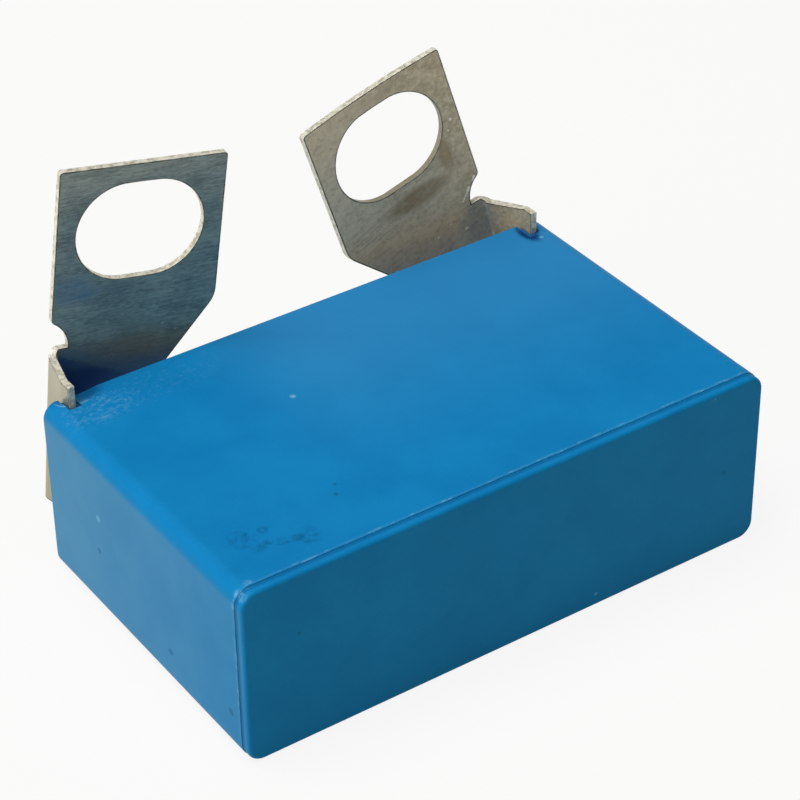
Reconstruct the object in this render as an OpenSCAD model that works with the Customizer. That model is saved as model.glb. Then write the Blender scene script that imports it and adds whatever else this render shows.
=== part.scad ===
// Film snubber capacitor: a flat moulded case, potted from the rear, with two slotted screw lugs.
// X runs along the case, Y from the closed front face to the potted rear face, Z is up.
// The origin is the centre of the broad face that the case lies on.

/* [Case] */
// Length of the case
case_l = 41.5; // [36:0.5:50]
// Depth from the front face to the rear rim
case_d = 25; // [22:0.5:32]
// Thickness of the case as it lies
case_h = 13.6; // [12.5:0.1:18]
// Thickness of the four side walls
wall = 1.2; // [0.8:0.1:1.6]
// Thickness of the closed front wall
front_wall = 1.4; // [0.8:0.1:2.5]
// Rounding of the four long edges
corner_r = 1.2; // [1:0.1:2.4]
// Rounding of the cavity's long edges
cavity_r = 0.4; // [0.2:0.1:0.5]

/* [Front cap] */
// Depth of the set-in front cap, up to its mould line
cap_depth = 0.75; // [0.6:0.05:1.2]
// Height of the step at the mould line
cap_step = 0.1; // [0.05:0.05:0.3]
// Rounding of the front edge
cap_edge_r = 0.45; // [0.2:0.05:0.55]

/* [Rim notches] */
// Depth of the notch in front of the terminal's shoulder
notch_front_gap = 0.3; // [0.1:0.1:0.8]
// Width of the notch beside the terminal, on the side of the case's middle
notch_inner_gap = 0.3; // [0.3:0.1:1.2]
// Width of the notch beside the terminal, on the side of the end wall
notch_outer_gap = 0.15; // [0.05:0.05:0.15]
// How far the resin in the notch stays below the top face
notch_fill_drop = 0.2; // [0.1:0.1:0.6]

/* [Potting] */
// How far the resin stays below the rear rim
fill_recess = 0.3; // [0.2:0.1:0.6]
// Resin between the winding and the side and front walls
jacket = 0.6; // [0.3:0.1:1]
// Resin over the winding at the rear
rear_cover = 2.4; // [1.5:0.1:4]

/* [Winding] */
// Thickness of the sprayed metal on each end of the winding
spray_t = 0.5; // [0.3:0.1:0.8]
// How far the sprayed metal stays inside the winding's outline
spray_inset = 0.2; // [0.1:0.1:0.5]

/* [Terminal sheet] */
// Thickness of the tinned sheet
sheet_t = 0.5; // [0.4:0.1:0.8]
// Resin between the end wall and the terminal
terminal_gap = 0.2; // [0.2:0.1:0.5]
// Inner radius of the fold between strap and lug
fold_r = 0.25; // [0.2:0.05:0.5]

/* [Terminal leg] */
// How far the leg reaches into the case from the rim
leg_reach = 13; // [10:0.5:16]
// Width of the soldered leg
leg_w = 6.2; // [4:0.1:7]
// How far the full strap width reaches into the case
throat = 3.2; // [2.5:0.1:5]
// Gap between the strap and the top wall inside the case
throat_gap = 0.25; // [0.1:0.05:0.6]
// How far the shoulder sits in the rim notch
shoulder = 1.3; // [1:0.1:2]
// Length of the solder pad under the leg
solder_l = 7; // [4:0.5:8]
// Width of the solder pad
solder_w = 4; // [2:0.5:5]
// Thickness of the solder
solder_t = 0.3; // [0.1:0.1:0.5]

/* [Strap and lug outline] */
// Reach of the strap from the rim to the outer corner of the fold
strap_reach = 3.4; // [3:0.1:6]
// Height of the strap above the top face
strap_rise = 1.5; // [1:0.05:1.9]
// Lower edge of the strap, below the top face
strap_drop = 9.9; // [9:0.1:10.5]
// Width of the lug
lug_w = 12; // [11:0.5:14]
// Height of the lug's upper edge above the top face
lug_rise = 15.4; // [14.5:0.1:20]
// Height at which the sloping lower edge starts, on the lug's free side
slope_rise = 4.3; // [2:0.1:6]
// Angle of the sloping lower edge from level
slope_angle = 54; // [50:1:56]
// Height of the relief notch's floor at the top of the fold
relief_floor = 2; // [2:0.05:2.6]
// Radius of the relief notch
relief_r = 2.3; // [2:0.05:2.5]
// How far outside the lug's edge the centre of that radius lies
relief_out = 1; // [0:0.1:1]

/* [Screw slot] */
// Length of the slot
slot_l = 9.2; // [7.5:0.1:9.4]
// Width of the slot
slot_w = 7.2; // [5:0.1:7.4]
// Height of the slot's centre above the top face
slot_rise = 10.4; // [10:0.1:10.6]

/* [Left terminal, as bent] */
// Inward lean of the strap
left_lean = 12; // [0:1:16]
// Downward slope of the strap
left_droop = 0; // [0:1:10]
// Twist of the strap that tips the lug inwards
left_twist = 8; // [0:0.5:16]
// Turn of the fold
left_fold = 85; // [60:1:92]
// Radius of the lug's curl, 0 for a flat lug
left_curl_r = 0; // [0, 40, 58, 80, 120]

/* [Right terminal, as bent] */
// Inward lean of the strap
right_lean = 16; // [0:1:18]
// Downward slope of the strap
right_droop = 8; // [0:1:10]
// Twist of the strap that tips the lug inwards
right_twist = 14.5; // [0:0.5:16]
// Turn of the fold
right_fold = 68; // [60:1:92]
// Radius of the lug's curl, 0 for a flat lug
right_curl_r = 58; // [0, 40, 58, 80, 120]

/* [Hidden] */
$fn = 64;
// Overrun of each cut past the face that it opens
eps = 0.01;
// Facets of the wide cylinder that a curled lug lies on
curl_facets = 360;

// Stack along X at each end: wall, gap, sheet, solder, sprayed metal, winding
terminal_x = wall + terminal_gap;
solder_x = terminal_x + sheet_t;
spray_x = solder_x + solder_t;
winding_x = spray_x + spray_t;
winding_l = case_l - 2 * winding_x;

// Section of the winding, and its place between the front wall and the rear cover
winding_t = case_h - 2 * wall - 2 * jacket;
winding_front = -case_d / 2 + front_wall + jacket;
winding_rear = case_d / 2 - fill_recess - rear_cover;
winding_w = winding_rear - winding_front;
winding_y = (winding_rear + winding_front) / 2;
mid_z = case_h / 2;

// Rim notch, from the shoulder that it takes
notch_d = shoulder + notch_front_gap;
notch_w = notch_outer_gap + sheet_t + notch_inner_gap;

// The lofted strap runs straight this far on both sides of the leg's end and of the lug's edge
lap = 0.1;
// It leaves the leg's plane at the rim below, and this far inside the rim above
bend_in = fill_recess + lap;

// Lower edge of the strap and the run of the sloping edge down to it
strap_low = -strap_drop;
slope_run = (slope_rise + strap_drop) / tan(slope_angle);

// How each terminal is bent: lean, droop, twist, fold, curl
left_bend = [left_lean, left_droop, left_twist, left_fold, left_curl_r];
right_bend = [right_lean, right_droop, right_twist, right_fold, right_curl_r];

// Steps of the lofted strap: along its height and round the fold
strap_rows = 8;
fold_steps = 10;
// The lofted strap stays this far inside the faces of the leg and of the lug
seam = 0.02;

// 2D shapes

module rounded_rect(w, h, r) {
    square([w - 2 * r, h], center = true);
    square([w, h - 2 * r], center = true);
    for (x = [-1, 1], y = [-1, 1])
        translate([x * (w / 2 - r), y * (h / 2 - r)])
            circle(r);
}

module obround(l, w) {
    square([l - w, w], center = true);
    for (x = [-1, 1])
        translate([x * (l - w) / 2, 0])
            circle(d = w);
}

// Half of a slab's section, with its outer top corner rounded
module half_slab(half, h, r) {
    square([half, h - r]);
    square([half - r, h]);
    translate([half - r, h - r])
        circle(r);
}

module slab(half, h, r) {
    half_slab(half, h, r);
    mirror([1, 0])
        half_slab(half, h, r);
}

// Solids along the case

// Draws in the XZ plane and extrudes from y towards the front
module towards_front(y, depth) {
    translate([0, y, mid_z])
        rotate([90, 0, 0])
            linear_extrude(depth)
                children();
}

// Draws in the YZ plane and extrudes along X
module along_x(x, length) {
    translate([x, 0, 0])
        rotate([90, 0, 90])
            linear_extrude(length)
                children();
}

// A plate with round corners and a rounded rim round its upper face
module pillow(w, h, depth, r, edge_r) {
    for (x = [0, 1], y = [0, 1])
        mirror([x, 0, 0])
            mirror([0, y, 0])
                translate([w / 2 - r, h / 2 - r, 0])
                    rotate_extrude(angle = 90)
                        half_slab(r, depth, edge_r);
    along_x(r - w / 2, w - 2 * r)
        slab(h / 2, depth, edge_r);
    rotate([90, 0, 0])
        translate([0, 0, r - h / 2])
            linear_extrude(h - 2 * r)
                slab(w / 2, depth, edge_r);
}

// The left end as drawn, or its mirror image for the right end
module at_end(right) {
    mirror([right ? 1 : 0, 0, 0])
        children();
}

module cavity(rear_y) {
    towards_front(rear_y, rear_y + case_d / 2 - front_wall)
        rounded_rect(case_l - 2 * wall, case_h - 2 * wall, cavity_r);
}

// The notch in the rim of the top wall, left end, from the cavity's rounded corner up to top
module rim_notch(top) {
    z = case_h - wall - cavity_r;
    translate([terminal_x - notch_outer_gap - case_l / 2, case_d / 2 - notch_d, z])
        cube([notch_w, notch_d + eps, top - z]);
}

module winding_section(inset) {
    translate([winding_y, mid_z])
        obround(winding_w - 2 * inset, winding_t - 2 * inset);
}

// Terminal, drawn for the left end
// Local frame: x inwards from the outer sheet face, y outwards from the rim, z up from the top face

module at_terminal() {
    translate([terminal_x - case_l / 2, case_d / 2, case_h])
        children();
}

function turn_x(a, p) = [p.x, p.y * cos(a) - p.z * sin(a), p.y * sin(a) + p.z * cos(a)];
function turn_y(a, p) = [p.x * cos(a) + p.z * sin(a), p.y, p.z * cos(a) - p.x * sin(a)];
function turn_z(a, p) = [p.x * cos(a) - p.y * sin(a), p.x * sin(a) + p.y * cos(a), p.z];
function unit(p) = p / norm(p);

// Directions in the leaning strap and in the folded lug
function in_strap(p, bend) = turn_z(-bend[0], turn_x(-bend[1], turn_y(bend[2], p)));
function in_lug(p, bend) = in_strap(turn_z(-bend[3], p), bend);

// Outer corner of the fold at height z, the way along the strap to it and the way across the lug from it
function corner(z, bend) = in_strap([0, strap_reach, z], bend);
function along(z, bend) = unit(corner(z, bend) - [0, lap - bend_share(z) * bend_in, z]);
function across(bend) = in_lug([0, 1, 0], bend);
function bend_share(z) = (z - strap_low) / (strap_rise - strap_low);

// Straight length that the fold takes from strap and lug at height z, measured on the outer face
function fold_run(z, bend) = (fold_r + sheet_t) * tan(acos(along(z, bend) * across(bend)) / 2);

// Width of the lug's strip that the lofted strap makes at height z, on a straight line up the lug
function fold_edge(z, bend) =
    let (low = fold_run(strap_low, bend))
    let (high = fold_run(relief_floor, bend))
    lap + low + (high - low) * (z - strap_low) / (relief_floor - strap_low);

// A point of the fold's outer face with the way to its inner face, t from 0 at the strap to 1 at the lug
function fold_point(t, z, bend) =
    let (from = along(z, bend))
    let (to = across(bend))
    let (weight = cos(acos(from * to) / 2))
    let (span = pow(1 - t, 2) + 2 * weight * t * (1 - t) + t * t)
    let (tangent = from * (1 - t) / (1 - t + weight * t) + to * t / (t + weight * (1 - t)))
    [corner(z, bend) + fold_run(z, bend) * (t * t * to - pow(1 - t, 2) * from) / span,
     unit(cross(tangent, in_strap([0, 0, 1], bend)))];

// Height of row i of the strap where its upper edge is at top
function level(i, top) = strap_low + seam + (top - strap_low - 2 * seam) * i / strap_rows;

// One row of the strap: points of the outer face with the way to the inner face, from inside the leg
// straight past its end, then bent, round the fold and into the lug
function strap_row(i, bend) =
    let (z = level(i, strap_rise))
    let (far = level(i, relief_floor))
    let (bend_y = -bend_share(z) * bend_in)
    concat([for (y = [bend_y - lap, bend_y + lap]) [[0, y, z], [1, 0, 0]]],
           [for (k = [0:fold_steps])
               let (t = k / fold_steps)
               fold_point(t, z + t * (far - z), bend)],
           [[corner(far, bend) + (fold_edge(far, bend) + lap) * across(bend), in_lug([1, 0, 0], bend)]]);

// Closed rings round the strap's section, one for each step along it
function strap_rings(bend) =
    let (rows = [for (i = [0:strap_rows]) strap_row(i, bend)])
    [for (step = [0:len(rows[0]) - 1]) concat(
        [for (i = [0:strap_rows]) rows[i][step][0] + seam * rows[i][step][1]],
        [for (i = [strap_rows:-1:0]) rows[i][step][0] + (sheet_t - seam) * rows[i][step][1]])];

// A solid through a row of flat rings with the same number of points
module loft(rings) {
    n = len(rings[0]);
    last = (len(rings) - 1) * n;
    points = [for (ring = rings) for (p = ring) p];
    sides = [for (i = [0:n:last - n]) for (k = [0:n - 1])
        let (a = i + k, b = i + (k + 1) % n)
        each [[a, a + n, b + n], [a, b + n, b]]];
    // Each end is a strip across the sheet, from the outer row to the inner row
    strip = [for (k = [0:n / 2 - 2]) each [[k, k + 1, n - 2 - k], [k, n - 2 - k, n - 1 - k]]];
    far_strip = [for (f = strip) [last + f[2], last + f[1], last + f[0]]];
    polyhedron(points, concat(strip, sides, far_strip));
}

// The lug in its own plane, from the edge where the strap takes over below the relief notch
module lug_outline(bend) {
    low = strap_low - eps;
    relief = max(relief_r, relief_out + fold_edge(relief_floor, bend) + lap);
    difference() {
        polygon([[0, lug_rise], [lug_w, lug_rise], [lug_w, slope_rise], [lug_w - slope_run, strap_low],
                 [0, strap_low]]);
        polygon([[-eps, low], [fold_edge(low, bend), low], [fold_edge(relief_floor, bend), relief_floor],
                 [-eps, relief_floor]]);
        translate([0, relief_floor])
            intersection() {
                translate([-relief_out, 0])
                    circle(relief);
                translate([-eps, 0])
                    square(relief);
            }
        translate([lug_w / 2, slot_rise])
            obround(slot_l, slot_w);
    }
}

// The flat or curled lug, in its own plane
module lug(bend) {
    curl_r = bend[4];
    if (curl_r == 0) {
        along_x(0, sheet_t)
            lug_outline(bend);
    } else {
        bow = curl_r - sqrt(curl_r * curl_r - lug_w * lug_w);
        height = lug_rise + strap_drop + 2 * eps;
        intersection() {
            along_x(-eps, bow + sheet_t + 2 * eps)
                lug_outline(bend);
            translate([curl_r, fold_edge(0, bend), strap_low - eps])
                difference() {
                    cylinder(r = curl_r, h = height, $fn = curl_facets);
                    translate([0, 0, -eps])
                        cylinder(r = curl_r - sheet_t, h = height + 2 * eps, $fn = curl_facets);
                }
        }
    }
}

// The flat part inside the case: soldered leg, throat, and the shoulder that sits in the rim notch
// Its end slopes from the rim below to end_y at the top
module leg(end_y) {
    leg_top = strap_low + leg_w;
    throat_top = -wall - throat_gap;
    along_x(0, sheet_t)
        polygon([[0, strap_low], [end_y, strap_rise], [-shoulder, strap_rise], [-shoulder, throat_top],
                 [-throat, throat_top], [-throat, leg_top], [-leg_reach, leg_top],
                 [-leg_reach, strap_low]]);
}

module terminal(bend) {
    at_terminal() {
        leg(-bend_in);
        loft(strap_rings(bend));
        rotate([0, 0, -bend[0]])
            rotate([-bend[1], 0, 0])
                rotate([0, bend[2], 0])
                    translate([0, strap_reach, 0])
                        rotate([0, 0, -bend[3]])
                            lug(bend);
    }
}

// Solder near the leg's end, as far from that end as from the leg's two edges
module solder_pad() {
    border = (leg_w - solder_w) / 2;
    at_terminal()
        along_x(sheet_t, solder_t)
            translate([border + solder_l / 2 - leg_reach, strap_low + leg_w / 2])
                obround(solder_l, solder_w);
}

module end_spray() {
    along_x(spray_x - case_l / 2, spray_t)
        winding_section(spray_inset);
}

// Parts

module case() {
    color([0.10, 0.46, 0.70])
        difference() {
            union() {
                towards_front(case_d / 2, case_d - cap_depth)
                    rounded_rect(case_l, case_h, corner_r);
                translate([0, cap_depth + cap_edge_r - case_d / 2, mid_z])
                    rotate([90, 0, 0])
                        pillow(case_l - 2 * cap_step, case_h - 2 * cap_step, cap_depth + cap_edge_r,
                               corner_r - cap_step, cap_edge_r);
            }
            cavity(case_d / 2 + eps);
            for (right = [false, true])
                at_end(right)
                    rim_notch(case_h + eps);
        }
}

module potting_resin() {
    color([0.07, 0.33, 0.55])
        difference() {
            union() {
                cavity(case_d / 2 - fill_recess);
                for (right = [false, true])
                    at_end(right)
                        intersection() {
                            rim_notch(case_h - notch_fill_drop);
                            cavity_block();
                        }
            }
            winding_solid();
            for (right = [false, true])
                at_end(right) {
                    end_spray();
                    solder_pad();
                    at_terminal()
                        leg(0);
                }
        }
}

module winding_solid() {
    along_x(-winding_l / 2, winding_l)
        winding_section(0);
}

// Everything in front of the resin's level at the rear
module cavity_block() {
    translate([-case_l / 2, -case_d / 2, 0])
        cube([case_l, case_d - fill_recess, case_h]);
}

module film_winding() {
    color([0.80, 0.80, 0.82])
        winding_solid();
}

module end_spray_left() {
    color([0.62, 0.62, 0.60])
        end_spray();
}

module end_spray_right() {
    color([0.62, 0.62, 0.60])
        at_end(true)
            end_spray();
}

module solder_left() {
    color([0.72, 0.72, 0.70])
        solder_pad();
}

module solder_right() {
    color([0.72, 0.72, 0.70])
        at_end(true)
            solder_pad();
}

module terminal_left() {
    color([0.70, 0.68, 0.62])
        terminal(left_bend);
}

module terminal_right() {
    color([0.70, 0.68, 0.62])
        at_end(true)
            terminal(right_bend);
}

case();
potting_resin();
film_winding();
end_spray_left();
end_spray_right();
solder_left();
solder_right();
terminal_left();
terminal_right();
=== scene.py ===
import bpy
from math import acos, cos, radians, sin, sqrt, tan
from mathutils import Matrix, Vector


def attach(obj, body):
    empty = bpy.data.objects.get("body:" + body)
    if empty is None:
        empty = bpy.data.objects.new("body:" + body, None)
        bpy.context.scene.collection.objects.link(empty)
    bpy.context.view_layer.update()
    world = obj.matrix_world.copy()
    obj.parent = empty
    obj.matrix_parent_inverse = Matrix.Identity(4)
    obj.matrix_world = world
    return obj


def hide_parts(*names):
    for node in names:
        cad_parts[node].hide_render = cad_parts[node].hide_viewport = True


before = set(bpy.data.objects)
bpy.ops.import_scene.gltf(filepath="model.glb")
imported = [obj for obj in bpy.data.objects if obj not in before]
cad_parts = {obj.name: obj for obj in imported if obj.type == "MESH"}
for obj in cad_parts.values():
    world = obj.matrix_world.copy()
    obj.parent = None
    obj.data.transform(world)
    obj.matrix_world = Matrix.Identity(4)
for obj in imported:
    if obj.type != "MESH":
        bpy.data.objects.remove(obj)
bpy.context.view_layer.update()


# Film winding: metallised plastic film, wound flat on a mandrel and pressed.
# It is sealed in the resin, with its silvery turns lying along the case.
mm = 0.001
turn_streak = (16.0, 0.11, 0.11)
film_grey, film_silver = (0.55, 0.55, 0.57, 1.0), (0.78, 0.78, 0.80, 1.0)


class Wire:
    """A value on its way between two shader nodes; arithmetic on it adds Math nodes."""

    def __init__(self, tree, socket=None):
        self.tree = tree
        self.socket = socket

    def node(self, kind, settings, inputs, output=0):
        made = self.tree.nodes.new(kind)
        for name, value in settings.items():
            setattr(made, name, value)
        for name, value in inputs.items():
            if isinstance(value, Wire):
                self.tree.links.new(value.socket, made.inputs[name])
            else:
                made.inputs[name].default_value = value
        return Wire(self.tree, made.outputs[output] if made.outputs else None)

    def maths(self, operation, *values):
        return self.node("ShaderNodeMath", {"operation": operation}, dict(enumerate(values)))

    def __add__(self, other):
        return self.maths("ADD", self, other)

    def __radd__(self, other):
        return self.maths("ADD", other, self)

    def __sub__(self, other):
        return self.maths("SUBTRACT", self, other)

    def __rsub__(self, other):
        return self.maths("SUBTRACT", other, self)

    def __mul__(self, other):
        return self.maths("MULTIPLY", self, other)

    def __rmul__(self, other):
        return self.maths("MULTIPLY", other, self)

    def __abs__(self):
        return self.maths("ABSOLUTE", self)


def new_finish(name):
    finish = bpy.data.materials.new(name)
    finish.use_nodes = True
    finish.node_tree.nodes.clear()
    return finish, Wire(finish.node_tree)


def coat(wire, **sockets):
    named = {key.replace("_", " "): value for key, value in sockets.items()}
    shader = wire.node("ShaderNodeBsdfPrincipled", {}, named)
    wire.node("ShaderNodeOutputMaterial", {}, {"Surface": shader})


def dress(name, finish):
    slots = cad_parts[name].data.materials
    slots.clear()
    slots.append(finish)


def stretched(place, size, turn=0.0):
    """The place in units of size along three axes that are turned about Z."""
    return place.node("ShaderNodeMapping", {"vector_type": "TEXTURE"},
                      {"Vector": place, "Scale": size, "Rotation": (0.0, 0.0, turn)})


def in_mm(wire):
    return stretched(wire.node("ShaderNodeTexCoord", {}, {}, "Object"), (mm, mm, mm))


def noise(place, scale, detail=2.0, rough=0.5):
    return place.node("ShaderNodeTexNoise", {},
                      {"Vector": place, "Scale": scale, "Detail": detail, "Roughness": rough})


def blend(amount, first, second):
    return amount.node("ShaderNodeMix", {"data_type": "RGBA"}, {0: amount, 6: first, 7: second}, 2)


film, w = new_finish("metallised_film")
turns = noise(stretched(in_mm(w), turn_streak), 1.0)
coat(w, Base_Color=blend(turns, film_grey, film_silver), Metallic=0.6, Roughness=0.25 + turns * 0.2)
dress("film_winding", film)

# End contacts: zinc sprayed on both ends of the winding, which joins the turns.
# The drops freeze into a rough grey crust.
zinc_dark, zinc_pale = (0.36, 0.36, 0.35, 1.0), (0.62, 0.62, 0.60, 1.0)
spray, w = new_finish("sprayed_zinc")
crust = noise(in_mm(w), 4.0, 4.0, 0.7)
coat(w, Base_Color=blend(crust, zinc_dark, zinc_pale), Metallic=0.8, Roughness=0.7)
dress("end_spray_left", spray)
dress("end_spray_right", spray)

# Solder: one flat pad joins each end contact to the terminal's leg.
# It is melted on and cools to a dull grey.
solder_dark, solder_pale = (0.50, 0.50, 0.49, 1.0), (0.66, 0.66, 0.64, 1.0)
solder, w = new_finish("dull_solder")
grain = noise(in_mm(w), 2.5, 3.0, 0.6)
coat(w, Base_Color=blend(grain, solder_dark, solder_pale), Metallic=0.9, Roughness=0.35 + grain * 0.2)
dress("solder_left", solder)
dress("solder_right", solder)

# Terminals: flat blanks punched from tinned sheet, then folded and bent by hand towards each other.
# The leg is soldered inside, the shoulder sits in a notch of the rim, and the slotted lug takes a screw.
# Sizes are in millimetres. On the flat blank, s runs out from the rim and v up from the case's top face.
foot_x, rim_y, top_z = 19.35, 12.5, 13.6
sheet = 0.5
leg_reach, leg_top = 13.0, -3.7
throat, throat_top = 3.2, -1.45
shoulder, strap_reach, strap_rise, strap_low = 1.3, 3.4, 1.5, -9.9
lug_w, lug_rise, slope_rise, slope_angle = 12.0, 15.4, 4.3, 54.0
relief_floor, relief_r, relief_out, relief_ramp, relief_steps = 2.0, 2.3, 1.0, 0.55, 10
tip_r, lug_corner_r, slope_corner_r, corner_steps = 0.5, 0.25, 2.0, 4
slot_half, slot_r, slot_rise, slot_points = 1.0, 3.6, 10.4, 64
fold_r, lap, bend_in = 0.25, 0.1, 0.4
rolled_w, punched_r, punched_facets = 0.1, 0.03, 2
sharp_angle, sheet_smooth_angle = 50.0, 20.0
near, weld = 0.01, 0.03
face_slot, cut_slot, rolled_slot, slots_a_side = 0, 1, 2, 3
strap_cuts, fold_cuts, lug_cuts = (-0.33, 0.41, 6), (2.06, 0.19, 15), (strap_reach + 1.72, 0.83, 13)
row_cuts = (strap_low + 0.91, 0.91, 12)
flat_span, flat_s, flat_v = 40.0, 0.4, 0.3


def pick(piece, test):
    """Selects the points of a piece whose place passes the test."""
    bpy.ops.object.mode_set(mode="OBJECT")
    for part in (piece.data.polygons, piece.data.edges):
        for item in part:
            item.select = False
    for point in piece.data.vertices:
        point.select = test(point.co)
    bpy.ops.object.mode_set(mode="EDIT")


bpy.ops.object.select_all(action="DESELECT")
bpy.ops.mesh.primitive_circle_add(vertices=slot_points, radius=slot_r * mm)
blank = bpy.context.object
blank.name = "terminal_blank"
bpy.ops.object.mode_set(mode="EDIT")
for side in (-1.0, 1.0):
    pick(blank, lambda place: place.x * side > near * mm)
    bpy.ops.transform.translate(value=(side * slot_half * mm, 0.0, 0.0))
bpy.ops.mesh.select_all(action="SELECT")
bpy.ops.transform.translate(value=((strap_reach + lug_w / 2) * mm, slot_rise * mm, 0.0))


def rounded(before, corner, after, radius):
    """Points of the arc that rounds a corner of the outline."""
    corner = Vector(corner)
    back = (Vector(before) - corner).normalized()
    on = (Vector(after) - corner).normalized()
    half = back.angle(on) / 2
    centre = corner + (back + on).normalized() * radius / sin(half)
    first = corner + back * radius / tan(half) - centre
    last = corner + on * radius / tan(half) - centre
    steps = [first.lerp(last, i / corner_steps) for i in range(corner_steps + 1)]
    return [tuple(centre + step.normalized() * radius) for step in steps]


def relief_point(turn):
    """A point of the round relief beside the fold."""
    return (strap_reach - relief_out + relief_r * cos(turn), relief_floor + relief_r * sin(turn))


relief_sweep = acos(relief_out / relief_r)
relief_tip = (strap_reach, relief_floor + relief_r * sin(relief_sweep))
lug_far = strap_reach + lug_w
slope_run = (slope_rise - strap_low) / tan(radians(slope_angle))
top_near, top_far = (strap_reach, lug_rise), (lug_far, lug_rise)
slope_top, slope_end = (lug_far, slope_rise), (lug_far - slope_run, strap_low)
outline = [(-leg_reach, leg_top), (-throat, leg_top), (-throat, throat_top), (-shoulder, throat_top)]
outline += [(-shoulder, strap_rise), (strap_reach - relief_ramp, strap_rise)]
outline += [(strap_reach + relief_ramp, relief_floor)]
outline += [relief_point(relief_sweep * i / relief_steps) for i in range(relief_steps - 1)]
outline += rounded(outline[-1], relief_tip, top_near, tip_r)
outline += rounded(relief_tip, top_near, top_far, lug_corner_r)
outline += rounded(top_near, top_far, slope_top, lug_corner_r)
outline += rounded(top_far, slope_top, slope_end, slope_corner_r)
outline += [slope_end, (-leg_reach, strap_low)]
last = outline[-1]
bpy.ops.mesh.primitive_plane_add(size=1.0 * mm)
bpy.ops.mesh.merge(type="CENTER")
bpy.ops.transform.translate(value=(last[0] * mm, last[1] * mm, 0.0))
for point in outline:
    step = ((point[0] - last[0]) * mm, (point[1] - last[1]) * mm, 0.0)
    bpy.ops.mesh.extrude_region_move(TRANSFORM_OT_translate={"value": step})
    last = point
bpy.ops.mesh.select_all(action="SELECT")
bpy.ops.mesh.remove_doubles(threshold=near * mm)
bpy.ops.mesh.fill()
bpy.ops.mesh.select_all(action="SELECT")
bpy.ops.mesh.inset(thickness=rolled_w * mm, use_boundary=True, use_even_offset=True)
bpy.ops.object.mode_set(mode="OBJECT")
for slot in range(2 * slots_a_side):
    blank.data.materials.append(None)
for facet in blank.data.polygons:
    facet.material_index = face_slot if facet.select else rolled_slot
bpy.ops.object.mode_set(mode="EDIT")


def cut_across(cuts, way):
    """Cuts the blank across at even steps, so that it can bend there."""
    first, pitch, count = cuts
    for i in range(count):
        bpy.ops.mesh.select_all(action="SELECT")
        bpy.ops.mesh.bisect(plane_co=[(first + pitch * i) * mm * side for side in way], plane_no=way)


for cuts in (strap_cuts, fold_cuts, lug_cuts):
    cut_across(cuts, (1.0, 0.0, 0.0))
cut_across(row_cuts, (0.0, 1.0, 0.0))
bpy.ops.mesh.select_all(action="SELECT")
bpy.ops.mesh.remove_doubles(threshold=weld * mm)
bpy.ops.mesh.normals_make_consistent(inside=False)
bpy.ops.object.mode_set(mode="OBJECT")
if blank.data.polygons[0].normal.z < 0:
    blank.data.flip_normals()
flat = blank.data.uv_layers.new(name="flat")
for loop in blank.data.loops:
    place = blank.data.vertices[loop.vertex_index].co / (flat_span * mm)
    flat.data[loop.index].uv = (place.x + flat_s, place.y + flat_v)


def bent(s, v, strap, fold, curl_r, curl_start):
    """Where the blank's point (s, v) comes to lie on the terminal's outer face, in millimetres."""
    start = lap - bend_in * (v - strap_low) / (strap_rise - strap_low)
    if s <= start:
        return Vector((0.0, s, v))
    foot = Vector((0.0, start, v))
    corner = strap @ Vector((0.0, strap_reach, v))
    along = (corner - foot).normalized()
    across = strap @ fold @ Vector((0.0, 1.0, 0.0))
    turn = along.angle(across)
    run = (fold_r + sheet) * tan(turn / 2)
    u = s - strap_reach
    if u > run or v > relief_floor + near:
        bow = curl_r - sqrt(curl_r ** 2 - (u - curl_start) ** 2) if curl_r else 0.0
        return strap @ (fold @ Vector((bow, u, v)) + Vector((0.0, strap_reach, 0.0)))
    if u < 0:
        u = u * (corner - foot).length / (strap_reach - start)
    if u < -run:
        return corner + u * along
    t = (u + run) / (2 * run)
    span = (1 - t) ** 2 + 2 * cos(turn / 2) * t * (1 - t) + t * t
    return corner + run * (t * t * across - (1 - t) ** 2 * along) / span


def bend_terminal(name, way, lean, droop, twist, fold, curl_r=0.0, curl_start=0.0):
    """A copy of the blank, bent by these angles in degrees and given the sheet's thickness."""
    piece = bpy.data.objects.new(name, blank.data.copy())
    bpy.context.scene.collection.objects.link(piece)
    turned = (Matrix.Rotation(radians(-lean), 3, "Z") @ Matrix.Rotation(radians(-droop), 3, "X")
              @ Matrix.Rotation(radians(twist), 3, "Y"))
    folded = Matrix.Rotation(radians(-fold), 3, "Z")
    for point in piece.data.vertices:
        place = bent(point.co.x / mm, point.co.y / mm, turned, folded, curl_r, curl_start)
        point.co = (way * (foot_x - place.x) * mm, (rim_y + place.y) * mm, (top_z + place.z) * mm)
    bpy.ops.object.select_all(action="DESELECT")
    piece.select_set(True)
    bpy.context.view_layer.objects.active = piece
    thick = piece.modifiers.new("sheet", "SOLIDIFY")
    thick.thickness = sheet * mm
    thick.offset = -way
    thick.use_even_offset = True
    thick.material_offset = slots_a_side
    thick.material_offset_rim = cut_slot - rolled_slot
    bpy.ops.object.modifier_apply(modifier="sheet")
    edge = piece.modifiers.new("punched_edge", "BEVEL")
    edge.width = punched_r * mm
    edge.segments = punched_facets
    edge.limit_method = "ANGLE"
    edge.angle_limit = radians(sharp_angle)
    edge.use_clamp_overlap = False
    bpy.ops.object.modifier_apply(modifier="punched_edge")
    bpy.ops.object.mode_set(mode="EDIT")
    bpy.ops.mesh.select_all(action="SELECT")
    bpy.ops.mesh.normals_make_consistent(inside=False)
    bpy.ops.object.mode_set(mode="OBJECT")
    bpy.ops.object.shade_smooth_by_angle(angle=radians(sheet_smooth_angle))
    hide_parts(name.removesuffix("_bent"))
    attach(piece, "root")
    return piece


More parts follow.
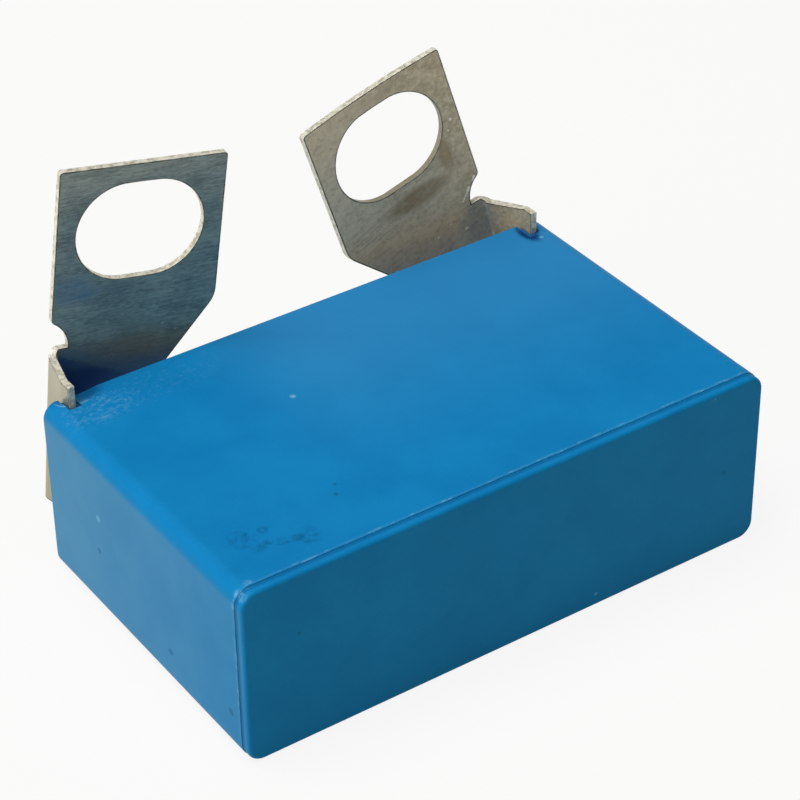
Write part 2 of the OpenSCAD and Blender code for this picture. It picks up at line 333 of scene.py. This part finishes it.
left_terminal = bend_terminal("terminal_left_bent", -1.0, lean=12.0, droop=0.0, twist=8.0, fold=85.0)
right_terminal = bend_terminal("terminal_right_bent", 1.0, lean=16.0, droop=8.0, twist=14.5, fold=68.0,
                               curl_r=58.0, curl_start=0.692)
bpy.data.objects.remove(blank)


def step_up(value, low, high):
    return value.node("ShaderNodeMapRange", {"interpolation_type": "SMOOTHSTEP"},
                      {"Value": value, "From Min": low, "From Max": high})


def away(place, centre, size=(1.0, 1.0, 1.0)):
    offset = place.node("ShaderNodeVectorMath", {"operation": "SUBTRACT"}, {0: place, 1: centre})
    offset = place.node("ShaderNodeVectorMath", {"operation": "DIVIDE"}, {0: offset, 1: size})
    return place.node("ShaderNodeVectorMath", {"operation": "LENGTH"}, {0: offset}, "Value")


def spot(place, centre, radius, size=(1.0, 1.0, 1.0)):
    """A soft round mark, or an oval one where size stretches it."""
    return 1.0 - step_up(away(place, centre, size), radius * 0.4, radius)


def bump(height, strength, distance):
    return height.node("ShaderNodeBump", {},
                       {"Height": height, "Strength": strength, "Distance": distance * mm})


def axes(place):
    return [place.node("ShaderNodeSeparateXYZ", {}, {"Vector": place}, axis) for axis in "XYZ"]


def streaks(place, length, width, turn=0.0, detail=4.0, rough=0.65):
    return noise(stretched(place, (length, width, 1.0), turn), 1.0, detail, rough)


def on_sheet(wire):
    """The flat blank's own coordinates, in millimetres from the rim and from the top face."""
    spread = wire.node("ShaderNodeUVMap", {"uv_map": "flat"}, {})
    return wire.node("ShaderNodeMapping", {},
                     {"Vector": spread, "Scale": (flat_span, flat_span, 1.0),
                      "Location": (-flat_s * flat_span, -flat_v * flat_span, 0.0)})


def lug_spot(place, u, v, width, height):
    """A soft oval mark, u out from the fold and v above the case's top face."""
    return spot(place, (strap_reach + u, v, 0.0), 1.0, (width, height, 1.0))


def lug_dots(place, dots):
    return sum(lug_spot(place, u, v, radius, radius) for u, v, radius in dots)


# The left lug's inner face is bright, brushed and tarnished blue, and its foot carries a painted reflection
# of the blue case and resin.
brushed_dark, brushed_pale = (0.215, 0.220, 0.172, 1.0), (0.500, 0.480, 0.355, 1.0)
blue_tarnish, brown_tarnish = (0.15, 0.25, 0.31, 1.0), (0.40, 0.35, 0.25, 1.0)
foot_reflection_grey, foot_reflection_blue = (0.225, 0.325, 0.365, 1.0), (0.140, 0.360, 0.560, 1.0)
resin_reflection_blue = (0.130, 0.300, 0.620, 1.0)
bare_scratch = (0.55, 0.56, 0.53, 1.0)
pale_dots = ((7.41, 4.3, 0.15), (8.15, 2.79, 0.16), (9.16, 2.18, 0.14), (5.2, 3.9, 0.08), (2.6, 12.9, 0.1))
tin, w = new_finish("bright_tin")
place = on_sheet(w)
s, v, _ = axes(place)
u = s - strap_reach
brush = streaks(place, 2.4, 0.2, 0.05)
cloud = streaks(place, 3.2, 1.6)
fine = streaks(place, 0.5, 0.12, 0.08, 3.0, 0.6)
colour = blend(step_up(brush * 0.3 + fine * 0.35 + cloud * 0.35, 0.36, 0.64), brushed_dark, brushed_pale)
tarnish = lug_spot(place, 1.2, 6.4, 2.4, 1.4) * 0.55 + lug_spot(place, 3.6, 5.7, 2.6, 0.8) * 0.4
colour = blend(tarnish * step_up(cloud, 0.3, 0.6), colour, blue_tarnish)
colour = blend(lug_spot(place, 5.9, 2.6, 2.8, 1.5) * 0.4, colour, brown_tarnish)
past_fold = step_up(u, 0.5, 1.2)
# Painted reflection: the foot is painted bluish grey, then blue, and a bright blue nearest the rim, standing
# in for the case and resin mirrored in the tin.
colour = blend(step_up(3.4 - u * 0.15 - v, 0.0, 2.4) * past_fold * 0.65, colour, foot_reflection_grey)
colour = blend(step_up(2.6 - u * 0.25 - v, 0.0, 1.5) * past_fold * 0.6, colour, foot_reflection_blue)
resin_reflection = step_up(1.95 - u * 0.43 - v, 0.0, 0.7) * step_up(u, 0.3, 0.7)
colour = blend(resin_reflection * 0.85, colour, resin_reflection_blue)
scuff = lug_spot(place, 4.2, 2.6, 1.2, 0.6) + lug_spot(place, 4.4, 0.7, 0.8, 0.4)
flecks = streaks(place, 0.5, 0.16, 0.7, 2.0, 0.6)
pale = scuff * step_up(flecks, 0.56, 0.66) * 0.55 + lug_dots(place, pale_dots) * 0.6
colour = blend(pale, colour, bare_scratch)
coat(w, Base_Color=colour, Metallic=0.62 + resin_reflection * 0.2, Normal=bump(brush, 0.05, 0.02),
     Roughness=0.27 + cloud * 0.12 - resin_reflection * 0.12)

# The outer faces are the plain tinned sheet, a little paler on the strap.
outer_dark, outer_pale = (0.330, 0.305, 0.205, 1.0), (0.420, 0.390, 0.275, 1.0)
outer_strap = (0.405, 0.375, 0.245, 1.0)
outer, w = new_finish("outer_tin")
place = on_sheet(w)
brush = streaks(place, 2.4, 0.2, 0.05)
cloud = streaks(place, 3.2, 1.6)
colour = blend(step_up(brush * 0.4 + cloud * 0.6, 0.34, 0.66), outer_dark, outer_pale)
colour = blend(step_up(strap_reach - axes(place)[0], 0.0, 0.4), colour, outer_strap)
coat(w, Base_Color=colour, Metallic=0.62, Roughness=0.27 + cloud * 0.12, Normal=bump(brush, 0.05, 0.02))

# The right lug's inner face is dull, mottled and stained brown below the slot, with scratches near its slope.
# It also carries painted light: it is painted paler low down, with a painted cool reflection, painted shade
# in the fold's corner and painted glints along the relief.
dull_dark, dull_pale = (0.500, 0.410, 0.265, 1.0), (0.640, 0.535, 0.360, 1.0)
far_warm, low_painted_light = (0.900, 0.725, 0.490, 1.0), (0.920, 0.750, 0.520, 1.0)
cool_reflection_grey = (0.800, 0.830, 0.780, 1.0)
strap_dull, fold_corner_shade = (0.370, 0.335, 0.250, 1.0), (0.330, 0.370, 0.370, 1.0)
mottle_pale, mottle_dark = (0.900, 0.790, 0.580, 1.0), (0.260, 0.205, 0.125, 1.0)
stain_brown = (0.345, 0.235, 0.110, 1.0)
scratch_dark, scratch_and_glint_pale = (0.300, 0.250, 0.160, 1.0), (1.0, 0.97, 0.80, 1.0)
single_dots = ((0.78, 9.55, 0.16), (2.27, 0.31, 0.2), (4.63, 1.01, 0.15), (3.34, 1.4, 0.1), (1.2, 8.8, 0.1))
# Painted glints along the relief's edge, each given by u, v and radius.
relief_glints = ((0.45, 4.05, 0.18), (0.56, 3.85, 0.18), (1.1, 3.4, 0.2), (1.25, 3.22, 0.18))
relief_glints += ((1.4, 3.05, 0.14), (1.55, 2.9, 0.12), (1.7, 2.75, 0.12), (1.85, 2.6, 0.12))
grey, w = new_finish("stained_tin")
place = on_sheet(w)
s, v, _ = axes(place)
u = s - strap_reach
brush = streaks(place, 1.6, 0.25, 0.05, 4.0, 0.6)
cloud = streaks(place, 1.6, 1.1, 0.0, 6.0, 0.75)
blotch = noise(place, 2.7, 3.0, 0.65)
colour = blend(step_up(cloud, 0.35, 0.65), dull_dark, dull_pale)
colour = blend(step_up(u, 3.0, 12.0) * 0.7, colour, far_warm)
# Painted light: the lower part past the fold is painted paler and warmer, standing in for light falling
# there.
colour = blend(step_up(7.5 - v, 0.0, 6.0) * step_up(u, 0.5, 3.0) * 0.6, colour, low_painted_light)
strap = step_up(0.0 - u, 0.0, 0.4)
colour = blend(strap * step_up(cloud, 0.35, 0.6), colour, strap_dull)
# Painted reflection: a cool grey reflection is painted low on the lug, away from the strap.
cool_reflection = step_up(cloud * 1.2 - v * 0.25 - u * 0.05, 0.0, 1.0) * (1.0 - strap)
colour = blend(cool_reflection * 0.75, colour, cool_reflection_grey)
# Painted shade: the fold's inner corner is painted a darker bluish grey.
colour = blend(lug_spot(place, 0.7, 0.4, 2.6, 2.6) * 0.7, colour, fold_corner_shade)
mottle = brush * 0.2 + blotch * 0.5 + cloud * 0.3
colour = blend(step_up(mottle, 0.48, 0.62) * 0.35, colour, mottle_pale)
colour = blend(step_up(0.52 - mottle, 0.0, 0.14) * 0.32, colour, mottle_dark)
stain = lug_spot(place, 5.2, 5.2, 3.8, 1.1) + lug_spot(place, 2.0, 7.2, 0.8, 2.0) * 0.8
colour = blend(stain * step_up(cloud, 0.2, 0.6) * 0.9, colour, stain_brown)
lines = streaks(place, 2.4, 0.13, -0.1, 3.0, 0.6)
marked = lug_spot(place, 9.6, 4.6, 3.4, 2.4)
colour = blend(marked * step_up(0.5 - lines, 0.04, 0.12) * 0.5, colour, scratch_dark)
# The pale marks are real scratches and dots, with painted glints along the relief.
pale = marked * step_up(lines, 0.57, 0.66) * 0.25 + lug_dots(place, single_dots + relief_glints)
colour = blend(pale, colour, scratch_and_glint_pale)
coat(w, Base_Color=colour, Metallic=0.20, Roughness=0.40 + cloud * 0.16,
     Normal=bump(cloud + blotch * 0.8 + brush * 0.3 + lines * marked, 0.12, 0.02))

# The punched edges show torn bright metal, darker in the right lug's slot, beside a thin rolled strip that is
# painted dark as the burr's shadow.
torn_dark, torn_pale = (0.46, 0.43, 0.32, 1.0), (0.84, 0.81, 0.68, 1.0)
slot_dark, slot_pale, slot_reach = (0.20, 0.18, 0.12, 1.0), (0.42, 0.38, 0.27, 1.0), (5.4, 4.4, 1.0)
rolled_shade_dark, rolled_shade_pale = (0.070, 0.070, 0.052, 1.0), (0.300, 0.280, 0.210, 1.0)


def cut_finish(name, slot_is_worn):
    finish, wire = new_finish(name)
    tear = noise(in_mm(wire), 2.6, 4.0, 0.65)
    colour = blend(step_up(tear, 0.34, 0.60), torn_dark, torn_pale)
    if slot_is_worn:
        from_slot = away(on_sheet(wire), (strap_reach + lug_w / 2, slot_rise, 0.0), slot_reach)
        in_slot = 1.0 - step_up(from_slot, 0.95, 1.05)
        colour = blend(in_slot, colour, blend(tear, slot_dark, slot_pale))
    coat(wire, Base_Color=colour, Metallic=0.15, Roughness=0.3 + tear * 0.2)
    return finish


cut = cut_finish("cut_edge", False)
worn_cut = cut_finish("worn_cut_edge", True)
# Painted shadow: the rolled strip is painted dark where the burr's shadow falls.
rolled_strip_shade, w = new_finish("rolled_edge_shade")
tear = noise(on_sheet(w), 1.6, 4.0, 0.65)
coat(w, Base_Color=blend(step_up(tear, 0.36, 0.62), rolled_shade_dark, rolled_shade_pale), Metallic=0.3,
     Roughness=0.35 + tear * 0.2)
for piece, finishes in ((left_terminal, (tin, cut, rolled_strip_shade, outer, cut, rolled_strip_shade)),
                        (right_terminal, (outer, worn_cut, rolled_strip_shade, grey, cut, rolled_strip_shade))):
    for slot, finish in enumerate(finishes):
        piece.data.materials[slot] = finish

# Case: one cup moulded in blue plastic, closed at the front, where a set-in cap meets the mould line.
# Its rim is notched for the terminals' feet, and the plastic round each foot is sunk.
# Sizes are in millimetres, and the cutters run a little past the rim and the top face.
end_x, wall, front_wall, corner_r, cavity_r = 20.75, 1.2, 1.4, 1.2, 0.4
cap_depth, cap_step, cap_edge_r = 0.75, 0.05, 0.25
notch_out, notch_w, notch_depth, notch_low, notch_r = 19.5, 0.95, 1.6, 12.0, 0.1
rim_edge_r, mould_edge_r, run_past, cleaning, flush = 0.12, 0.04, 1.0, 0.005, 0.001
corner_facets, edge_facets, cap_facets, case_smooth_angle = 8, 3, 4, 40.0
dish_segments, dish_rings = 48, 32
mould_y = cap_depth - rim_y
left_sink, left_sink_size = (-18.3, 12.5, top_z + 0.38), (2.4, 1.6, 0.6)
right_sink, right_sink_size = (18.7, 11.4, top_z + 0.45), (0.95, 1.6, 0.7)


def rounded_bar(name, low, high, radius):
    """A block between two corners, with its four edges along Y rounded."""
    bpy.ops.object.select_all(action="DESELECT")
    bpy.ops.mesh.primitive_cube_add(size=1.0)
    bar = bpy.context.object
    bar.name = name
    bpy.ops.object.mode_set(mode="EDIT")
    bpy.ops.transform.resize(value=[(b - a) * mm for a, b in zip(low, high)])
    bpy.ops.transform.translate(value=[(a + b) / 2 * mm for a, b in zip(low, high)])
    bpy.ops.mesh.select_mode(type="EDGE")
    bpy.ops.mesh.select_all(action="DESELECT")
    bpy.ops.object.mode_set(mode="OBJECT")
    for edge in bar.data.edges:
        start, end = (bar.data.vertices[corner].co for corner in edge.vertices)
        edge.select = abs(start.y - end.y) > near * mm
    bpy.ops.object.mode_set(mode="EDIT")
    bpy.ops.mesh.bevel(offset=radius * mm, segments=corner_facets, affect="EDGES")
    bpy.ops.mesh.select_mode(type="VERT")
    bpy.ops.object.mode_set(mode="OBJECT")
    return bar


def sunk_spot(centre, size):
    bpy.ops.object.select_all(action="DESELECT")
    bpy.ops.mesh.primitive_uv_sphere_add(segments=dish_segments, ring_count=dish_rings, radius=1.0)
    bpy.ops.object.mode_set(mode="EDIT")
    bpy.ops.transform.resize(value=[side * mm for side in size])
    bpy.ops.transform.translate(value=[side * mm for side in centre])
    bpy.ops.object.mode_set(mode="OBJECT")
    return bpy.context.object


def carve(piece, tool):
    bpy.ops.object.select_all(action="DESELECT")
    piece.select_set(True)
    bpy.context.view_layer.objects.active = piece
    cut_out = piece.modifiers.new("cut_out", "BOOLEAN")
    cut_out.operation = "DIFFERENCE"
    cut_out.object = tool
    bpy.ops.object.modifier_apply(modifier="cut_out")
    bpy.data.objects.remove(tool)


cup = rounded_bar("case_moulded", (-end_x, mould_y, 0.0), (end_x, rim_y, top_z), corner_r)
pick(cup, lambda place: place.y > (rim_y - near) * mm)
bpy.ops.mesh.bevel(offset=rim_edge_r * mm, segments=edge_facets, affect="EDGES")
pick(cup, lambda place: place.y < (mould_y + near) * mm)
bpy.ops.mesh.bevel(offset=mould_edge_r * mm, segments=edge_facets, affect="EDGES")
pick(cup, lambda place: place.y < (mould_y + flush) * mm)
bpy.ops.mesh.inset(thickness=(cap_step - mould_edge_r) * mm)
bpy.ops.mesh.extrude_region_move(TRANSFORM_OT_translate={"value": (0.0, -cap_depth * mm, 0.0)})
bpy.ops.mesh.bevel(offset=cap_edge_r * mm, segments=cap_facets, affect="EDGES")
bpy.ops.object.mode_set(mode="OBJECT")
cavity_low = (wall - end_x, front_wall - rim_y, wall)
cavity_high = (end_x - wall, rim_y + run_past, top_z - wall)
carve(cup, rounded_bar("cavity", cavity_low, cavity_high, cavity_r))
for notch_x in (-notch_out, notch_out - notch_w):
    notch_start = (notch_x, rim_y - notch_depth, notch_low)
    notch_end = (notch_x + notch_w, rim_y + run_past, top_z + run_past)
    carve(cup, rounded_bar("notch", notch_start, notch_end, notch_r))
carve(cup, sunk_spot(left_sink, left_sink_size))
carve(cup, sunk_spot(right_sink, right_sink_size))
bpy.ops.object.select_all(action="DESELECT")
cup.select_set(True)
bpy.context.view_layer.objects.active = cup
bpy.ops.object.mode_set(mode="EDIT")
bpy.ops.mesh.select_all(action="SELECT")
bpy.ops.mesh.remove_doubles(threshold=cleaning * mm)
bpy.ops.mesh.dissolve_degenerate(threshold=cleaning * mm)
bpy.ops.mesh.normals_make_consistent(inside=False)
bpy.ops.object.mode_set(mode="OBJECT")
bpy.ops.object.shade_smooth_by_angle(angle=radians(case_smooth_angle))
level = cup.modifiers.new("level_faces", "WEIGHTED_NORMAL")
level.keep_sharp = True
bpy.ops.object.modifier_apply(modifier="level_faces")
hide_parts("case")
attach(cup, "root")

# The blue plastic is smudged near the front and worn at its edges. It carries painted sheen at the left end
# and towards the rear of the top, painted shade along the mould line and in the sinks round the feet, and
# painted highlights along the mould step, on the left sink's lip and at the right foot.
# Smudges are given by place, radius and length on the top face, and dots by place and radius.
deep_blue, clear_blue = (0.0030, 0.195, 0.470, 1.0), (0.0050, 0.232, 0.530, 1.0)
left_sheen_blue, top_sheen_blue = (0.115, 0.315, 0.49, 1.0), (0.040, 0.255, 0.535, 1.0)
wear_and_highlight_blue = (0.16, 0.42, 0.66, 1.0)
mould_shade_blue, smudge_blue = (0.003, 0.110, 0.280, 1.0), (0.002, 0.085, 0.200, 1.0)
left_sink_shade_blue, right_sink_shade_blue = (0.002, 0.080, 0.220, 1.0), (0.002, 0.055, 0.200, 1.0)
smear = 2.1
smudges = (
    (-17.33, -7.08, 0.30, 1.6), (-17.94, -7.1, 0.26, 1.0), (-18.1, -7.5, 0.20, 1.0),
    (-17.51, -8.06, 0.34, 1.3), (-16.18, -7.53, 0.26, 1.5), (-17.07, -8.93, 0.26, 1.5),
    (-16.25, -8.79, 0.20, 1.3), (-15.57, -9.16, 0.28, 1.2), (-14.93, -9.31, 0.20, 2.2),
    (-14.29, -9.46, 0.26, 1.8), (-13.83, -9.55, 0.45, 1.0), (-13.9, -10.11, 0.30, 1.3))
dark_dots = (
    ((-10.19, -7.09, top_z), 0.22), ((-9.66, -6.17, top_z), 0.18), ((-end_x, -3.14, 3.0), 0.35),
    ((-end_x, 5.87, 5.55), 0.3), ((-end_x, -10.64, 3.24), 0.4), ((-16.62, -rim_y, 8.92), 0.18),
    ((17.7, -rim_y, 6.6), 0.2))
# The last of these is a painted glint at the right foot's sink, and the others are pale chips.
pale_chips_and_glint = (
    ((-6.57, 3.65, top_z), 0.28), ((6.87, -12.4, 1.07), 0.22), ((16.49, -12.4, 13.2), 0.16),
    ((-end_x, 5.63, 8.38), 0.35), ((19.04, 10.2, top_z), 0.24))
corner_wear = (
    ((-19.55, -11.55, top_z), 0.5), ((-20.35, -11.6, 13.29), 0.4), ((-20.35, -12.1, 13.29), 0.45),
    ((-end_x, -11.5, 12.46), 0.35))


def case_dots(place, dots):
    return sum(spot(place, centre, radius) for centre, radius in dots)


blue, w = new_finish("moulded_blue")
place = in_mm(w)
x, y, z = axes(place)
cloud = noise(place, 0.16, 4.0, 0.6)
grain = noise(place, 5.0, 3.0, 0.6)
colour = blend(step_up(cloud * 0.7 + grain * 0.3, 0.3, 0.7), deep_blue, clear_blue)
# Painted sheen: the left end is painted paler, more so towards the rear, standing in for light glancing off
# it.
left_sheen = step_up(0.0 - x, end_x - 0.2, end_x) * step_up(0.0 - z, -13.0, -12.2)
colour = blend(left_sheen * (0.17 + cloud * 0.4 + y * 0.014), colour, left_sheen_blue)
# Painted sheen: the top is painted paler towards the rear.
top_sheen = step_up(y, -9.0, 9.0) * step_up(x, -11.0, -2.0) * step_up(z, 13.0, 13.5)
colour = blend(top_sheen * 0.5, colour, top_sheen_blue)
ragged = noise(stretched(place, (0.7, 0.2, 0.7)), 1.0, 3.0, 0.7)
# Painted shade: the mould line is painted darker in front of its small step.
line = 1.0 - step_up(abs(y - mould_y + 0.12) + ragged * 0.1, 0.13, 0.27)
colour = blend(line * 0.6, colour, mould_shade_blue)
# Painted shade: the sunk plastic round each foot is painted darker blue.
colour = blend(spot(place, (-18.2, 12.5, top_z), 1.25, (2.0, 1.35, 1.0)) * 0.9, colour, left_sink_shade_blue)
colour = blend(spot(place, (18.6, 11.2, top_z), 1.25, (0.75, 1.35, 1.0)), colour, right_sink_shade_blue)
smudge = sum(spot(place, (at_x, at_y, top_z), radius * smear, (length, 1.0, 1.0))
             for at_x, at_y, radius, length in smudges)
smudge = w.maths("MINIMUM", smudge, 1.0) * step_up(noise(place, 1.5, 5.0, 0.7), 0.38, 0.66) * 1.1
colour = blend((smudge + case_dots(place, dark_dots)) * 0.5, colour, smudge_blue)
# Painted highlight: a pale line is painted along the edge of the mould step, broken by ragged worn nicks.
step_highlight_and_nicks = 1.0 - step_up(abs(y - mould_y - 0.14), 0.04, 0.16)
step_highlight_and_nicks = step_highlight_and_nicks * (0.12 + 0.9 * step_up(ragged, 0.50, 0.68))
handled = spot(place, (-18.0, 9.9, top_z), 1.0, (3.8, 2.2, 0.8))
rubbed = spot(place, (-13.5, 10.4, top_z), 1.0, (8.0, 2.6, 0.8))
scratch = streaks(place, 0.34, 0.24, 0.08, 4.0, 0.7)
# Real wear and the painted highlights are summed and painted in one paler blue.
wear_and_highlights = step_highlight_and_nicks * 0.6 + handled * step_up(scratch, 0.44, 0.70) * 0.30
wear_and_highlights = wear_and_highlights + rubbed * step_up(scratch, 0.48, 0.72) * 0.14
# Painted highlight: a pale crescent is painted on the left sink's lip.
sink_lip_highlight = 1.0 - step_up(abs(away(place, left_sink, left_sink_size) - 1.04), 0.0, 0.06)
wear_and_highlights = wear_and_highlights + sink_lip_highlight * spot(place, (-19.1, 11.3, top_z), 1.5) * 0.8
wear_and_highlights = wear_and_highlights + case_dots(place, pale_chips_and_glint) * 0.8
wear_and_highlights = wear_and_highlights + case_dots(place, corner_wear) * step_up(ragged, 0.42, 0.60) * 0.55
wear_and_highlights = wear_and_highlights + spot(place, (-17.9, 8.9, top_z), 0.6, (1.0, 0.26, 1.0)) * 0.3
colour = blend(wear_and_highlights, colour, wear_and_highlight_blue)
coat(w, Base_Color=colour, Roughness=0.40 + grain * 0.12, Specular_IOR_Level=0.06,
     Normal=bump(grain + scratch * handled * 0.5 - line * ragged, 0.10, 0.02))
cup.data.materials.clear()
cup.data.materials.append(blue)

# Potting resin: poured in at the rear over the winding, and in the rim notches round the straps.
# It sets to a glossy dark blue face a little below the rim, drawn up where it wets the walls.
resin_dark, resin_pale = (0.004, 0.085, 0.240, 1.0), (0.006, 0.125, 0.320, 1.0)
draw_up = 1.2
resin, w = new_finish("cast_resin")
place = in_mm(w)
x, _, z = axes(place)
cloud = noise(place, 0.3, 4.0, 0.6)
to_end = end_x - wall - abs(x)
to_side = top_z / 2 - wall - abs(z - top_z / 2)
drawn = 1.0 - step_up(w.maths("MINIMUM", to_end, to_side), 0.0, draw_up)
bubbles = w.node("ShaderNodeTexVoronoi", {}, {"Vector": place, "Scale": 0.42}, "Distance")
pits = 1.0 - step_up(bubbles, 0.05, 0.12)
wave = noise(place, 0.22, 2.0, 0.5)
coat(w, Base_Color=blend(cloud, resin_dark, resin_pale), Roughness=0.10 + cloud * 0.10,
     Normal=bump(drawn * 0.6 + wave * 0.8 - pits * 0.25, 0.6, 0.6))
dress("potting_resin", resin)

# Floor: a wide pale board under the part, which takes its shadow.
# The camera, metal and glass see it nearly white.
floor_size, board_pale, white, seen_white = 6.0, (0.70, 0.69, 0.61, 1.0), (1.0, 1.0, 1.0, 1.0), 0.88


def seen_directly(wire):
    """1 where the camera, metal or glass looks, and 0 where the surface only lights others."""
    camera_ray, glossy_ray, clear_ray = (
        wire.node("ShaderNodeLightPath", {}, {}, kind)
        for kind in ("Is Camera Ray", "Is Glossy Ray", "Is Transmission Ray"))
    return wire.maths("MAXIMUM", wire.maths("MAXIMUM", camera_ray, glossy_ray), clear_ray)


bpy.ops.object.select_all(action="DESELECT")
bpy.ops.mesh.primitive_plane_add(size=floor_size, location=(0.0, 0.0, 0.0))
floor = bpy.context.object
floor.name = "floor"
pale_board, w = new_finish("pale_board")
board = w.node("ShaderNodeBsdfDiffuse", {}, {"Color": board_pale})
shine = w.node("ShaderNodeEmission", {}, {"Color": white, "Strength": 1.0})
mixed = w.node("ShaderNodeMixShader", {}, {0: seen_directly(w) * seen_white, 1: board, 2: shine})
w.node("ShaderNodeOutputMaterial", {}, {"Surface": mixed})
floor.data.materials.append(pale_board)

# Light: a room that is white near the horizon and dim overhead, brighter behind the part than before it.
# A wide lamp hangs above and a weak one stands on the left. Places are in metres.
room_front, room_rear = (0.26, 0.25, 0.12, 1.0), (0.80, 0.80, 0.80, 1.0)
room_overhead = (0.16, 0.16, 0.16, 1.0)
lamp_aim = (0.0, 0.0, 0.01)
world = bpy.data.worlds.new("room")
bpy.context.scene.world = world
world.use_nodes = True
world.node_tree.nodes.clear()
w = Wire(world.node_tree)
_, back, up = axes(w.node("ShaderNodeTexCoord", {}, {}, "Generated"))
lit = blend(step_up(back, -0.7, 0.7), room_front, room_rear)
room_wall = blend(seen_directly(w), lit, white)
room_wall = blend(step_up(up, 0.05, 0.40), room_wall, room_overhead)
room = w.node("ShaderNodeBackground", {}, {"Color": room_wall, "Strength": 1.0})
w.node("ShaderNodeOutputWorld", {}, {"Surface": room})


def lamp(name, place, size, power):
    light = bpy.data.lights.new(name, "AREA")
    light.size = size
    light.energy = power
    holder = bpy.data.objects.new(name, light)
    bpy.context.scene.collection.objects.link(holder)
    holder.location = place
    holder.rotation_euler = (Vector(lamp_aim) - Vector(place)).to_track_quat("-Z", "Y").to_euler()


lamp("key", (-0.12, 0.05, 0.50), size=0.35, power=2.05)
lamp("side", (-0.49, -0.06, 0.17), size=0.30, power=0.82)

# Camera: stands in front on the left and looks down on the part, with the photograph's long lens.
# Its place is in millimetres and its turns are in degrees.
eye_place = (-84.6394, -124.8889, 118.2164)
tilt, roll, heading = 55.0320, 0.7115, -34.4921
eye = bpy.data.cameras.new("camera")
eye.sensor_width = 36.0
eye.lens = 123.563
eye.clip_start = 0.01
eye.clip_end = 10.0
camera = bpy.data.objects.new("camera", eye)
bpy.context.scene.collection.objects.link(camera)
camera.location = [side * mm for side in eye_place]
camera.rotation_euler = [radians(turn) for turn in (tilt, roll, heading)]
bpy.context.scene.camera = camera
bpy.context.scene.view_settings.view_transform = "Standard"
